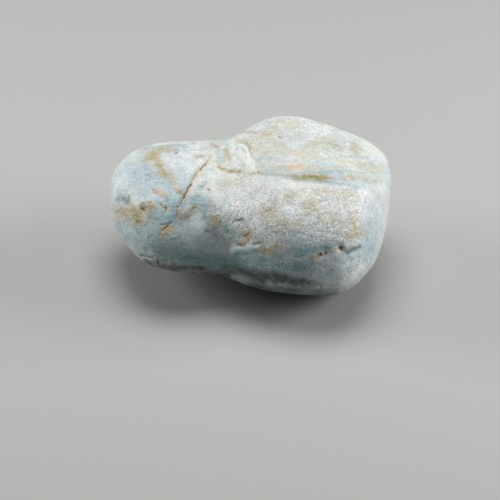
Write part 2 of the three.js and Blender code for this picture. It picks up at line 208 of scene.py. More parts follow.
OCHRE_STAINS = [
    ("lobe stain, upper bar", [(160, 149.5), (168, 149), (176, 150.5)], 4.2, 0.62),
    ("lobe stain, bar's shade", [(148, 157), (156, 153), (166, 151)], 7.5, 0.5),
    ("lobe stain, stem", [(154, 154), (158, 162), (160.5, 169), (164, 175)], 6.5, 0.7),
    ("lobe stain, stem's wash", [(150, 158), (157, 166), (166, 172)], 12, 0.32),
    ("lobe stain, core", [(158, 164), (160, 169)], 2.6, 0.3),
    ("lobe stain, foot", [(161, 172), (165, 174)], 3, 0.4),
    ("lobe stain, tail", [(169, 176), (174, 181), (178, 189)], 6.5, 0.55),
    ("lobe stain, tail's ring", [(172, 179), (175, 184)], 2.6, 0.25),
    ("lobe stain, west", [(143, 160), (150, 158)], 7, 0.42),
    ("ochre at the crack's middle", [(178.5, 192.5), (183, 194)], 4.2, 0.75),
    ("dashes above the crack", [(194, 156.5), (204, 157)], 3.4, 0.5),
    ("crack's head", [(210.5, 156), (209.5, 161)], 3, 0.5),
    ("crack's lip", [
        (207, 162), (200, 169.6), (195.6, 174.5), (190.5, 184.6), (187, 190),
        (183, 199)], 3.4, 0.55),
    ("saddle fleck", [(212, 145), (218, 147)], 5, 0.6),
    # Iron stain, and partly a painted shadow outside the chip's bright lip.
    ("outer edge of the chip", [(238, 141.5), (246, 142.5), (251, 148)], 4.4, 0.6),
    ("chip, upper spot", [(226.5, 150.5), (228.5, 157)], 5.4, 0.66),
    ("chip, lower spot", [(230, 159), (231, 164)], 3.2, 0.55),
    ("chip, west run", [(224.5, 150), (226, 158)], 3, 0.35),
    ("start of the seam", [(218.5, 166.5), (223, 169.2), (230, 171.3), (239, 171.6)], 3.8, 0.85),
    ("seam under the chip", [(240, 172), (250, 174), (262, 173)], 2.4, 0.45),
    ("seam, middle", [(262, 175), (290, 176.5)], 2.2, 0.3),
    ("lens in the seam", [(304, 177), (310, 176.6), (318, 177), (325, 178)], 5, 0.95),
    ("lens, tails", [(294, 177), (303, 177), (326, 178.4), (333, 178.6)], 2.6, 0.55),
    ("seam, right", [(345, 176.5), (355, 178), (368, 180)], 4, 0.36),
    ("halo of the brown dot", [(208.5, 190)], 4.4, 0.5),
    ("lobe front patch", [(118, 211), (128, 211), (139, 210)], 9, 0.78),
    ("lobe front patch, high", [(131, 205), (127, 194)], 5.5, 0.45),
    ("lobe front patch, core", [(144, 206), (151, 206)], 7, 0.8),
    ("lobe front patch, low", [(136, 216), (141, 223)], 7, 0.8),
    ("lobe front patch, wash", [(122, 217), (134, 221), (148, 216)], 10, 0.5),
    ("lobe front patch, east", [(152, 207), (157, 208.5)], 3.4, 0.5),
    ("spot by the crack", [(165, 206), (165.4, 211)], 3.6, 0.85),
    ("patch under the crack", [(162, 229), (167, 229), (172, 228)], 6, 0.85),
    ("patch under the crack, low", [(162, 235), (166, 235)], 6, 0.7),
    ("patch under the crack, wash", [(166, 230), (174, 232)], 8, 0.35),
    ("wedge", [(193, 210), (188, 214), (182, 218)], 8.5, 0.65),
    ("crack's foot", [(177.4, 206), (176.4, 215)], 3, 0.55),
    ("belly fleck a", [(214, 218), (218, 223)], 7.5, 0.72),
    ("belly fleck b", [(245, 232), (250, 237)], 9, 0.75),
    ("belly fleck b, low", [(241, 243), (245, 244)], 5, 0.6),
    ("belly fleck d", [(263, 250), (271, 251)], 6, 0.8),
    ("belly fleck e", [(264, 213), (273, 209)], 11, 0.62),
    ("belly fleck f", [(288, 196)], 11, 0.5),
    ("belly fleck g", [(308, 208), (313, 204)], 9.5, 0.62),
    ("belly fleck h", [(354, 216), (356, 230)], 7, 0.6),
    ("belly fleck i", [(350, 237), (361, 233)], 7, 0.6),
    ("belly fleck j", [(276, 222), (296, 226)], 11, 0.42),
    ("belly fleck k", [(322, 215), (338, 221)], 9, 0.36),
    ("below the seam", [(314, 190), (350, 192)], 5.5, 0.42),
    ("left belly top", [(220, 185), (242, 182)], 8, 0.5),
    ("hump wash", [(242, 146), (262, 148), (280, 143)], 9, 0.2),
    ("hump fleck", [(264, 138), (280, 145)], 6, 0.4),
    ("slope fleck a", [(310, 144), (328, 141)], 9, 0.46),
    ("slope fleck b", [(330, 146), (342, 148)], 6, 0.46),
    ("slope fleck c", [(354, 147), (358, 151.5)], 7, 0.62),
    ("slope streak", [(262, 153), (290, 151), (314, 154)], 5, 0.36),
    ("band over the seam a", [(252, 167), (272, 168), (288, 167)], 4, 0.4),
    ("band over the seam b", [(306, 167.5), (322, 168.5), (345, 167)], 3.2, 0.36),
    ("right shoulder", [(355, 165), (380, 168)], 5, 0.28),
    ("right end wash", [(372, 190), (384, 200)], 8, 0.22),
    ("halo of the west pits", [(312, 257.5), (318, 256.5)], 5, 0.85),
    ("line under the west pits", [(320, 256), (325.4, 255.6)], 1.4, 0.8),
    ("halo of the main pit", [(333, 251), (337.5, 251)], 4.4, 0.75),
    ("streak in the low hollow", [(256, 271), (267, 270.5)], 1.6, 0.6),
    ("right end, speckled", [(352, 176), (368, 178), (382, 181)], 6, 0.4),
    ("right end, over the speckled", [(346, 163), (366, 166), (380, 171)], 5, 0.36),
    ("band under the crest", [(296, 158), (320, 159), (345, 158)], 3.6, 0.3),
    ("lobe, faint", [(138, 186), (146, 190)], 6, 0.25),
    ("left shoulder, faint", [(120, 196), (124, 190)], 5, 0.3),
    ("belly fleck d, north", [(274, 246), (277, 246.5)], 5, 0.5),
]

RUST_SPOTS = [
    ("lobe front, arc", [(139.8, 206), (144.5, 203)], 1.8, 0.75),
    ("lobe front, arc's middle", [(148.6, 202.6), (150.6, 203)], 1.5, 0.6),
    ("lobe front, arc's end", [(152.6, 206.6), (156.5, 208.6)], 1.7, 0.6),
    ("lobe front, dark pair", [(141.5, 208.4), (144.2, 211)], 2, 0.95),
    ("lobe front, core", [(146, 209), (150, 208)], 3.4, 0.45),
    ("lobe front, orange blob", [(131.5, 210), (135, 210.5)], 3, 0.5),
    ("lobe front, ring", [(135, 214), (138, 217)], 1.8, 0.6),
    ("lobe front, low core", [(136.5, 222), (140.5, 221.5)], 2.4, 0.75),
    ("lobe front, specks", [(120, 206), (122, 208)], 1.6, 0.5),
    ("lobe front, specks b", [(127, 215)], 1.6, 0.45),
    ("lobe front, specks c", [(129, 196), (128, 201)], 1.6, 0.4),
    ("spot by the crack", [(165, 206.5), (165.3, 210)], 2, 0.95),
    ("orange wash on the lobe", [(155, 190.5), (161, 193.5), (167, 198)], 3.6, 0.42),
    ("wash's dark west end", [(154.5, 192), (157, 194)], 2, 0.5),
    ("ochre at the crack's middle", [(180, 192), (183, 194.6)], 2.2, 0.55),
    ("patch under the crack", [(164.5, 228), (167, 226.5)], 2, 0.6),
    ("wedge, top", [(189, 209.4), (196.5, 208)], 2.6, 0.6),
    ("wedge, low", [(185, 219), (190.5, 215.5)], 2.8, 0.55),
    ("wedge, middle", [(183, 214), (190, 211)], 2.4, 0.35),
    ("wedge, foot", [(180, 217.5), (184, 220)], 2, 0.5),
    ("crack's foot", [(177.2, 206.5), (176.6, 215)], 1.4, 0.6),
    ("belly fleck a", [(216, 215.4), (220, 216.2)], 1.3, 0.75),
    ("belly fleck b", [(245, 235.5), (249, 234)], 2.2, 0.6),
    ("belly fleck b, tick", [(247, 238), (249, 241)], 1.2, 0.8),
    ("belly fleck b, low", [(239, 244.5), (244, 245)], 2.4, 0.75),
    ("belly fleck d", [(264.5, 250.5), (269, 250)], 1.6, 0.6),
    ("belly fleck d, north", [(274, 246.5), (276, 247)], 1.5, 0.6),
    ("brown dot on the waist", [(205.5, 231), (208.5, 231)], 2, 0.8),
    # Iron stain, and partly a painted shadow outside the chip's bright lip.
    ("chip's outer edge", [(247, 143.6), (250, 147.5), (250.6, 152)], 1.8, 0.4),
    ("hump crest dashes", [(240.5, 132.5), (248, 131.5), (256, 133)], 1.5, 0.55),
    ("hump crest dash", [(262, 134), (272, 135)], 1.5, 0.4),
    ("hump tick", [(279, 137), (282, 138)], 1.4, 0.6),
    ("chip spot", [(227.6, 151)], 1.7, 0.6),
    ("dashes above the crack", [(197.4, 156.6), (202.6, 157)], 1.4, 0.65),
    ("saddle fleck", [(214, 145.6), (217, 147)], 1.8, 0.55),
    ("seam's start", [(221.5, 169), (223, 169.6)], 1.4, 0.5),
    ("seam's start b", [(229, 171.3), (233, 172)], 1.4, 0.5),
    ("west pits", [(319.5, 254.6), (326, 253.4)], 2, 0.8),
    ("main pit", [(339.4, 247.4), (341.8, 249.6)], 2.4, 0.9),
    ("chip's lower end", [(255, 173.5), (259, 173)], 1.8, 0.65),
    ("slope speck", [(336, 146), (340, 147)], 1.6, 0.4),
    ("slope speck b", [(354, 150)], 2.5, 0.4),
    ("belly specks h", [(353, 222), (356, 227)], 1.8, 0.45),
    ("belly specks i", [(354, 236), (358, 234)], 1.8, 0.5),
    ("belly fleck e, specks", [(266, 212), (271, 209.6)], 1.6, 0.4),
    ("belly fleck g, specks", [(309, 207.6), (312, 205)], 1.4, 0.35),
    ("lobe stain, specks", [(160, 166), (164, 172)], 1.3, 0.35),
    ("seam's far specks", [(372, 180), (378, 182)], 1.2, 0.35),
    ("belly fleck b, east", [(246, 234), (250, 231.6), (253.6, 230.6)], 2, 0.5),
    ("belly fleck d, specks", [(262.6, 251.6), (265, 252.4)], 1.3, 0.6),
    ("belly fleck d, specks north", [(275, 244.6), (276.8, 246)], 1.1, 0.6),
]

PINK_STREAKS = [
    ("pink lens over the seam", [(290, 166.8), (302, 167)], 3.8, 1),
    ("pink streak on the hump", [(289, 153), (305, 154)], 2.6, 0.6),
    ("pink by the seam's lens", [(325, 177), (334, 177)], 2, 0.4),
    ("pink at the seam's right", [(345, 176), (352, 178)], 3, 0.5),
    ("pink left of the lens", [(294, 176.5), (300, 176.5)], 1.8, 0.6),
    ("pink speck", [(339, 163), (345, 163)], 1.8, 0.4),
    ("band beside the crack", [
        (206, 165), (199, 174), (195, 183), (191, 193), (187, 203)], 3.2, 0.4),
    ("pink crest dash", [(262, 134), (273, 135)], 2.2, 0.4),
    ("pink on the lobe", [(157, 191), (164, 194)], 4.6, 0.6),
    ("floor of the main pit", [(336.8, 251.4), (338.8, 249.8)], 2.6, 1),
    ("west lip of the main pit", [(338, 247.8)], 1.2, 0.7),
    ("pink on the belly", [(318, 192), (342, 191)], 3, 0.3),
    ("pink east of the chip", [(252, 149), (254, 152)], 3, 0.35),
]

SLATE_SPOTS = [
    ("lobe's west spot", [(120.5, 198.5), (127, 200)], 5.6, 0.95),
    ("lobe front, grey dot", [(140.2, 212.3)], 1.8, 0.7),
    ("by the crack", [(161, 204.7)], 1.8, 0.8),
    ("north of the wash", [(152.5, 188.5)], 1.6, 0.5),
    ("belly speck", [(237.3, 220.4), (242.5, 219.6)], 1.5, 0.95),
    ("belly speck b", [(232, 216)], 1.6, 0.4),
    ("ticks on the low lobe", [(172, 239.4), (175.5, 237.8)], 1.1, 0.85),
    ("ticks on the low lobe b", [(160.6, 239.4)], 1, 0.8),
    ("ticks on the low lobe c", [(174, 225.5), (176, 224)], 1, 0.5),
    ("lobe tick", [(175.5, 153.6), (176.8, 152.4)], 1.1, 0.8),
    ("streak low on the waist", [(184, 257.5), (200, 258.5)], 1.2, 0.5),
    ("streak low on the waist b", [(196, 262), (214, 262.5)], 1.4, 0.45),
    ("streak low on the waist c", [(204, 268), (214, 269)], 1.8, 0.6),
    ("dark lilac by the split", [(160, 260.5), (167.5, 261)], 2, 0.6),
    ("vein", [(348.3, 252.2), (353.9, 249), (359.6, 247)], 2.6, 1),
    ("vein's dark end", [(357.5, 247.8), (359.8, 247)], 1.5, 0.6),
    ("line under the band", [(295, 256.3), (304, 255)], 1.3, 0.75),
    ("line under the band b", [(295, 261.5), (303, 261)], 1.2, 0.4),
    ("by the ledge", [(252, 245), (262, 243)], 2.4, 0.5),
    ("belly tick", [(270, 190), (273, 193)], 1.1, 0.5),
    ("dot under the main pit", [(336, 258)], 1.2, 0.6),
    ("right end tick", [(367, 238), (368, 241)], 1.3, 0.5),
    ("wedge", [(192, 211), (187, 215.5), (181, 220)], 6, 0.42),
    ("lobe, low streak", [(150, 246), (166, 249)], 1.6, 0.3),
    ("waist specks", [(214, 232), (216, 236)], 1.2, 0.4),
    ("crack's west side", [(181, 190), (184, 188)], 1, 0.4),
    # Painted shade: slate laid in the hollow under the belly, where shade falls.
    ("hollow under the belly", [(260, 276), (280, 279), (300, 281)], 7, 0.6),
]

# Painted shade: near-black laid under the belly, the waist and the lobe, where shade falls on the
# underside.
PAINTED_UNDERSIDE_SHADE = [
    ("hollow under the belly", [(253, 274), (262, 277), (276, 278)], 9, 1),
    ("hollow, core", [(252, 279), (263, 280.5)], 5, 1),
    ("hollow, middle", [(272, 278), (290, 280), (300, 282)], 7.5, 1),
    ("hollow, knot", [(285, 279), (289.5, 280)], 2.2, 0.7),
    ("hollow, east", [(297, 281), (312, 286)], 6, 0.85),
    ("hollow, far east", [(306, 280), (318, 284)], 4, 0.35),
    ("under the waist", [(224, 268), (240, 271), (254, 273)], 7, 0.7),
    ("bottom strip", [(250, 285), (275, 289), (300, 292), (335, 296)], 8, 0.75),
    ("foot of the waist", [(196, 270), (212, 273), (228, 275)], 7, 0.8),
    ("foot of the lobe", [(140, 264), (160, 267), (180, 269), (200, 271)], 8, 0.9),
    ("under the split", [(144, 259.5), (154, 262)], 2.2, 0.35),
    ("turn under the body", [(240, 272), (270, 276), (300, 281), (330, 288)], 10, 0.3),
]

HOLLOWS = [
    ("hollow under the belly", [
        (250, 276), (262, 279), (276, 279), (290, 280), (302, 283)], 6, 0.6),
    ("main pit", [(339.6, 249)], 3, 0.25),
]

# White broken edges, and painted highlights on the lips, crests and pale sides of small steps and
# on the right knuckle, where light catches them.
BRUISES_AND_HIGHLIGHTS = [
    ("right edge of the chip, high", [
        (240, 145), (243, 145.4), (245.8, 147.2), (247.6, 150.7), (248, 155)], 2, 0.85),
    ("right edge of the chip, middle", [
        (248, 155), (249.8, 159), (252.7, 160.7), (253.9, 164)], 2.4, 1),
    ("right edge of the chip, low", [
        (253.9, 164), (253.6, 168), (255.2, 172.3), (256.8, 174)], 2, 0.9),
    ("chip's shine", [(249, 162), (251, 168)], 3, 0.6),
    ("chip's north-west corner", [(231, 144.3), (233.2, 146.4)], 1.6, 0.6),
    ("chip floor", [(234, 150), (240, 153), (246, 159), (249, 168)], 7, 0.45),
    ("chip's west edge", [(229.5, 161.5), (232, 166)], 1.6, 0.4),
    ("crest of the broken ledge", [(230.4, 252.6), (231.6, 249.8), (234.4, 247)], 1.3, 0.9),
    ("ledge, bright bit", [(251, 243), (251.4, 245)], 1, 0.7),
    ("lip of the low split", [(134.5, 255.2), (139, 258), (143.5, 261.4)], 1.6, 0.85),
    ("low split, right", [(167.6, 262), (169.2, 261.4)], 1.3, 0.7),
    ("low split, foot", [(160, 263.5), (162, 264.5)], 1.2, 0.5),
    ("lip of the bottom ledge", [(280.5, 285.4), (284, 284.8)], 1.3, 0.6),
    ("streaks by the bottom tick", [(305, 285.2), (313, 287)], 1.2, 0.4),
    ("streaks east of the bottom tick", [(328, 286.8), (340, 289)], 1.2, 0.4),
    ("bottom tick, left side", [(319, 286), (319.4, 291)], 1, 0.35),
    ("bottom tick, right side", [(323, 287), (323.6, 291)], 1, 0.3),
    ("wedge's facet", [(188, 223), (194, 217.5), (200, 213)], 3.6, 0.3),
    ("main pit's rim", [(343, 246), (344, 250)], 1.4, 0.3),
    ("right knuckle", [(342, 285), (352, 277), (362, 266)], 6, 0.4),
    ("crack's low lip", [(178, 222), (184, 211), (188, 201)], 1.4, 0.2),
    ("lobe ticks' pale side", [(171, 237.6), (174, 236.2)], 1, 0.4),
    ("left shoulder", [(121, 167), (127, 160)], 4, 0.35),
    ("slope ripples", [(296, 139), (303, 141.5), (310, 143)], 1.6, 0.3),
    ("crest of the broken ledge, foot", [(231.6, 253.4), (233.4, 251)], 1, 0.6),
]

DARK_FISSURES = [
    ("crack, head", [(209.4, 157.2), (207.6, 161.4), (205.4, 164.6)], 1.2, 0.4),
    ("crack, upper notch", [(205.4, 164.6), (203, 166.8), (200.3, 169.2)], 1.5, 0.7),
    ("crack, upper", [(200.3, 169.2), (196, 173.3), (193, 178.6), (190.6, 184.4)], 1.4, 0.5),
    ("crack, middle", [(190.6, 184.4), (187.8, 188.8), (185.6, 193.2), (183.4, 198)], 1.7, 0.82),
    ("crack, lower", [(183.4, 198), (181, 203), (178.2, 207)], 1.5, 0.55),
    ("crack, foot", [(177.6, 207), (176.4, 213.2), (175, 218)], 1.2, 0.4),
    ("seam lens", [(310, 177.2), (316, 177.6)], 1.2, 0.3),
    ("seam line", [(221, 169), (232, 171.4), (250, 174), (272, 175.5), (298, 177)], 0.8, 0.12),
    ("seam line, right", [(322, 178), (345, 181), (368, 184)], 0.8, 0.14),
    ("chip's lower end", [(253, 173.8), (258.5, 173.4)], 0.9, 0.5),
    ("main pit, north", [(339.6, 247.3), (341.4, 247)], 1.3, 0.6),
    ("main pit, east", [(341.2, 249.4)], 1.1, 0.6),
    ("west pit", [(325.4, 253.4)], 1.5, 0.9),
    ("west pit b", [(320.4, 254.6)], 1.4, 0.8),
    ("brown dot", [(208.6, 190)], 1.5, 0.9),
    ("lobe front speck a", [(142, 208.5), (144, 210.8)], 1.3, 0.85),
    ("lobe front speck b", [(143.8, 203.2)], 1, 0.5),
    ("lobe front speck c", [(149.8, 202.7)], 1, 0.55),
    ("lobe front speck d", [(136, 215)], 1, 0.5),
    ("lobe front speck e", [(137, 222)], 1.1, 0.7),
    ("spot by the crack", [(165.3, 208.2)], 1.5, 0.8),
    ("spot by the crack b", [(161, 204.7)], 1, 0.5),
    ("crossing tick", [(160.5, 224.6), (166, 224.9), (169.5, 224.5)], 1, 0.38),
    ("crossing tick, end", [(169.5, 224.3), (172, 222)], 0.8, 0.25),
    ("crossing tick b", [(168, 226.2), (165.5, 228), (163, 231)], 1.3, 0.5),
    ("wedge, top", [(192.4, 208.5), (196, 208)], 1, 0.5),
    ("wedge, low", [(186, 218.8), (189, 216.8)], 1, 0.4),
    ("broken ledge, left", [(238.5, 244.6), (242, 245.4), (245.5, 244.8)], 2.6, 0.48),
    ("broken ledge, right", [(254, 244.8), (257, 244), (260.5, 243)], 1.6, 0.5),
    ("low split", [(141, 255.8), (146, 256.6), (153.5, 258)], 1.3, 0.75),
    ("low split, foot", [(157.9, 260), (158.4, 263.4)], 1.4, 0.9),
    ("bottom tick", [(320.3, 285), (321.3, 289)], 0.9, 0.8),
    ("hump tick", [(278.5, 137), (282, 138.3)], 0.9, 0.6),
    ("belly fleck", [(247.4, 238.4), (249, 240.6)], 0.9, 0.5),
    ("under belly fleck", [(264, 250.6), (267, 250.4)], 0.9, 0.35),
    ("belly fleck b, core", [(245.6, 236.5), (247.8, 235.4)], 1.2, 0.5),
    ("belly speck, core", [(238, 220.3), (241.6, 219.8)], 0.8, 0.5),
]

# The back has a sheet of its own, seen from behind and a little above: (across, up) in mm from the
# middle of the stone's box.
BACK_MARKS = {
    "cool": [
        ("lobe's back", [(34, 2), (50, -8)], 14, 0.8),
        ("low back", [(-46, -16), (-10, -20), (30, -18)], 12, 0.9),
        ("middle", [(-16, 6), (10, 0)], 10, 0.5),
    ],
    # Darker grey; low on the back and at the waist it is painted shade.
    "grey": [
        ("low back", [(-50, -14), (-20, -22), (20, -22), (40, -16)], 10, 0.35),
        ("waist", [(26, -6), (30, -16)], 9, 0.3),
    ],
    "pale": [
        ("hump's back", [(-30, 18), (5, 24), (30, 10)], 16, 0.6),
        ("lobe's back", [(40, 6), (52, -6)], 12, 0.5),
        ("belly's back", [(-40, 0), (-14, -4)], 11, 0.6),
    ],
    "grainy": [
        ("back", [(-40, -2), (-6, -6)], 16, 0.8),
        ("lobe's back", [(34, -4), (48, -10)], 12, 0.5),
        ("hump's back", [(-26, 22), (4, 26)], 8, 0.5),
    ],
    "banded": [
        ("over the back seam", [(-52, 14), (-10, 14), (20, 8)], 12, 0.8),
    ],
    "teal": [
        ("low back", [(-42, -14), (-26, -19), (-6, -18)], 7, 0.45),
        ("back waist", [(10, 8), (15, -2), (17, -12)], 8, 0.55),
        ("waist, low", [(20, -16), (34, -18)], 6, 0.35),
        ("back seam", [(-50, 10), (-26, 9), (0, 5)], 3.4, 0.45),
        ("lobe's streak", [(28, 12), (40, 10), (50, 4)], 3, 0.4),
    ],
    "ochre": [
        ("back seam, left", [(-49, 13), (-43, 12), (-40, 11.6)], 2.4, 0.45),
        ("back seam, left of the middle", [(-38, 11), (-33, 10.6)], 3.2, 0.5),
        ("back seam, middle", [(-23, 9.6), (-17, 9)], 3, 0.4),
        ("back seam, right", [(-14, 8.2), (-8, 6.6), (0, 4.4)], 2, 0.5),
        ("lobe patch", [(36, 2), (41, -2), (40, -7)], 5, 0.6),
        ("lobe patch, wash", [(33, 4), (44, -6)], 8, 0.3),
        ("hump wash", [(-18, 26), (-2, 24)], 6, 0.42),
        ("hump fleck", [(-30, 22), (-27, 20)], 3, 0.5),
        ("low patch", [(-31, -13), (-27, -15)], 4.2, 0.5),
        ("belly fleck", [(-40, -1), (-37, -3)], 3, 0.45),
        ("belly fleck b", [(-12, 1), (-8, -2)], 3.6, 0.4),
        ("hairline's lip", [(37, -13), (44, -9), (49, -9.6)], 1.6, 0.4),
        ("waist crack's lip", [(21.6, 4), (19.6, -5), (17, -12)], 1.6, 0.45),
    ],
    "rust": [
        ("lobe patch", [(38, 0.4), (41, -3)], 1.8, 0.6),
        ("lobe patch, speck", [(36, -6)], 0.9, 0.6),
        ("low patch", [(-29, -13.6)], 1.4, 0.5),
        ("pit", [(-14, 12)], 1.2, 0.6),
        ("belly specks", [(-38, -2), (-36.6, -3.2)], 0.8, 0.5),
    ],
    "pink": [
        ("streak", [(-40, 18), (-28, 18.6)], 1.5, 0.5),
        ("lobe speck", [(46, 8), (48, 7)], 1.2, 0.4),
    ],
    "slate": [
        ("speck", [(24, 10)], 1.2, 0.6),
        ("speck low", [(-4, -12), (-1, -13)], 0.9, 0.6),
        ("streak low", [(-24, -18), (-16, -19)], 0.9, 0.5),
    ],
    # Painted shade low on the back's underside.
    "earth": [
        ("low back", [(-34, -25), (0, -27), (30, -25)], 7, 0.35),
    ],
    "hollow": [
        ("dip low on the back", [(-30, -16), (-22, -18)], 5, 0.4),
    ],
    # White broken edges, and a painted highlight on the back ledge's crest.
    "bruise": [
        ("knock", [(-38, -5), (-36, -4)], 1.8, 0.5),
        ("crest of the back ledge", [(-33, -13.6), (-24, -15.6)], 0.8, 0.4),
        ("knock on the lobe", [(50, -2)], 1.4, 0.5),
    ],
    "fissure": [
        ("waist crack, high", [(22.6, 6), (21.4, 2.4), (20.6, 0)], 0.6, 0.35),
        ("waist crack, middle", [(20.6, 0), (20, -3), (18.4, -7)], 0.7, 0.65),
        ("waist crack, low", [(18.4, -7), (17.8, -9.6), (16.2, -13)], 0.6, 0.4),
        ("back seam", [(-46, 11.6), (-40, 11.6), (-34, 10.8)], 0.6, 0.3),
        ("back seam, middle", [(-19, 9), (-14, 8.6), (-10, 7.2)], 0.6, 0.3),
        ("pit", [(-14, 12)], 0.7, 0.8),
        ("hairline", [(39, -11.6), (43, -9.2), (46.4, -9.6)], 0.5, 0.4),
        ("hairline high", [(-31, 24.4), (-27.4, 26)], 0.5, 0.35),
    ],
}

DRAWN_ON_FRONT = {
    "cool": COOL_ZONES,
    "grey": GREY_AND_SHADE_ZONES,
    "pale": PALE_ZONES,
    "grainy": GRAINY_ZONES,
    "banded": BANDED_ZONES,
    "teal": TEAL_ZONES,
    "ochre": OCHRE_STAINS,
    "rust": RUST_SPOTS,
    "pink": PINK_STREAKS,
    "slate": SLATE_SPOTS,
    "earth": PAINTED_UNDERSIDE_SHADE,
    "hollow": HOLLOWS,
    "bruise": BRUISES_AND_HIGHLIGHTS,
    "fissure": DARK_FISSURES,
}


def in_mm(marks, spread):
    """Marks of the front sheet as the back's are given: (across, up) in mm from its middle."""
    middle = SHEET_SIDE / 2
    unit = SHEET_UNIT_MM
    return [
        (name, [((x - middle) * unit, (middle - y) * unit) for x, y in path],
         half_width * spread * unit, strength)
        for name, path, half_width, strength in marks]


FRONT_MARKS = {
    kind: in_mm(marks, STAIN_SPREAD.get(kind, 1)) for kind, marks in DRAWN_ON_FRONT.items()}


# ---- sizes and colours -------------------------------------------------------------------------

def length_setting(name, description, default):
    """A setting that holds a length."""
    return bpy.props.FloatProperty(
        name=name, description=description, default=default, min=0.0, subtype="DISTANCE",
        unit="LENGTH", precision=5)


def colour_setting(name, description, default):
    """A setting that holds a colour."""
    return bpy.props.FloatVectorProperty(
        name=name, description=description, default=default, size=3, min=0.0, max=1.0,
        subtype="COLOR")


class CobbleShape(bpy.types.PropertyGroup):
    """Sizes of the stone's skin and of its fine relief."""
    cell: length_setting("Cell", "Size of the cells that the skin is rebuilt from", 0.64 * MM)
    fissure_depth: length_setting("Fissure depth", "Depth of a fissure of full strength", 0.65 * MM)
    hollow_depth: length_setting("Hollow depth", "Depth of a hollow of full strength", 1.3 * MM)
    bruise_height: length_setting("Bruise height", "Height of a bruised edge", 0.16 * MM)
    ripple_height: length_setting("Ripple height", "Height of the slow ripples of wear", 0.5 * MM)
    ripple_size: length_setting("Ripple size", "Length of the slow ripples of wear", 9 * MM)
    grain_height: length_setting("Grain height", "Height of the coarse grain", 0.26 * MM)
    grain_size: length_setting("Grain size", "Size of the coarse grain", 2.2 * MM)
    dent_depth: length_setting("Dent depth", "Depth of the largest knock", 0.30 * MM)
    dent_radius: length_setting("Dent radius", "Radius of the largest knock", 2.4 * MM)
    dents: bpy.props.IntProperty(
        name="Dents", description="How many small knocks the river left", default=420, min=0)
    seed: bpy.props.IntProperty(name="Seed", description="Seed of the knocks", default=7)


class CobbleColours(bpy.types.PropertyGroup):
    """Mineral colours of the stone."""
    cool: colour_setting("Cool grey", "Blue-green ground of the jadeite", (0.52, 0.605, 0.665))
    # The stone's darker tone, also laid on its lower parts as painted shade.
    grey: colour_setting("Grey", "Darker zones of the ground", (0.155, 0.26, 0.33))
    warm: colour_setting("Warm grey", "Warmer ground of the jadeite", (0.64, 0.67, 0.64))
    pale: colour_setting("Pale", "Granular pale jadeite, faintly lavender", (0.76, 0.76, 0.79))
    cream: colour_setting("Cream", "Granular cream jadeite", (0.74, 0.735, 0.68))
    sea: colour_setting("Sea", "Pale blue-green veils", (0.47, 0.62, 0.66))
    tan: colour_setting("Tan", "Faint tan clouds", (0.62, 0.56, 0.45))
    straw: colour_setting("Straw", "Yellowish bands of the foliation", (0.71, 0.69, 0.60))
    teal: colour_setting("Teal", "Blue-green zones", (0.14, 0.325, 0.305))
    ochre: colour_setting("Ochre", "Iron stain", (0.49, 0.44, 0.25))
    rust: colour_setting("Rust", "Strong iron stain", (0.27, 0.17, 0.085))
    pink: colour_setting("Pink", "Salmon streaks", (0.71, 0.545, 0.37))
    slate: colour_setting("Slate", "Dark grey spots", (0.13, 0.17, 0.19))
    # Also the colour of painted highlights on lips and crests that catch the light.
    bruise: colour_setting("Bruise", "Crushed white edges", (0.88, 0.90, 0.89))
    moss: colour_setting("Moss", "Olive-yellow lens in the seam", (0.40, 0.35, 0.12))
    # Painted shade: the near-black that darkens the underside.
    earth: colour_setting("Earth", "Film of earth on the underside", (0.065, 0.066, 0.055))
    olive: colour_setting("Olive", "Rims of pits and cracks", (0.24, 0.20, 0.09))
    dark: colour_setting("Dark", "Earth in pits and cracks", (0.045, 0.028, 0.014))


class CobbleStage(bpy.types.PropertyGroup):
    """The studio: camera, lights and floor."""
    elevation: bpy.props.FloatProperty(
        name="Camera elevation", description="Angle of the view above the horizon",
        default=math.radians(36), subtype="ANGLE", unit="ROTATION")
    distance: length_setting("Camera distance", "From the aim to the camera", 1.0573)
    aim: bpy.props.FloatVectorProperty(
        name="Aim", description="Point that the camera looks at", size=3, subtype="XYZ",
        unit="LENGTH", default=(0.0002, -0.0119, 0.0176))
    lens: bpy.props.FloatProperty(
        name="Lens", description="Focal length in mm", default=181.25, unit="CAMERA")
    floor_colour: colour_setting("Floor", "Colour of the floor", (0.40, 0.40, 0.39))
    key_power: bpy.props.FloatProperty(
        name="Key power", description="Power of the soft light overhead", default=5.1, unit="POWER")
    left_power: bpy.props.FloatProperty(
        name="Left power", description="Power of the light on the left", default=3.9,
        unit="POWER")
    right_power: bpy.props.FloatProperty(
        name="Right power", description="Power of the light on the right", default=5.0,
        unit="POWER")
    fill: bpy.props.FloatProperty(
        name="Fill", description="Strength of the even light from all round", default=0.03)


# ---- where the marks fall on the skin ----------------------------------------------------------

# How far the skin faces the viewer where marks begin to show and where they show whole, from 1 for
# straight towards the viewer through 0 for edge on.
MARKS_BEGIN = -0.3
MARKS_WHOLE = 0.15
# The back's sheet is seen from this far above level, in radians.
BACK_SHEET_TILT = 0.25
# Waves that keep the marks' edges from being ruled. Each has a height in mm, its turn in radians
# for every mm along, across and through the stone, and the turn that it starts at.
EDGE_WAVES = (
    (0.20, 1.7, 0.7, 0.0, 0.0),
    (0.10, 3.1, 0.0, -1.3, 0.0),
    (0.04, 5.3, 0.0, 2.1, 1.0),
)
# The share of those waves that a fissure follows.
FISSURE_UNSTEADY = 0.35


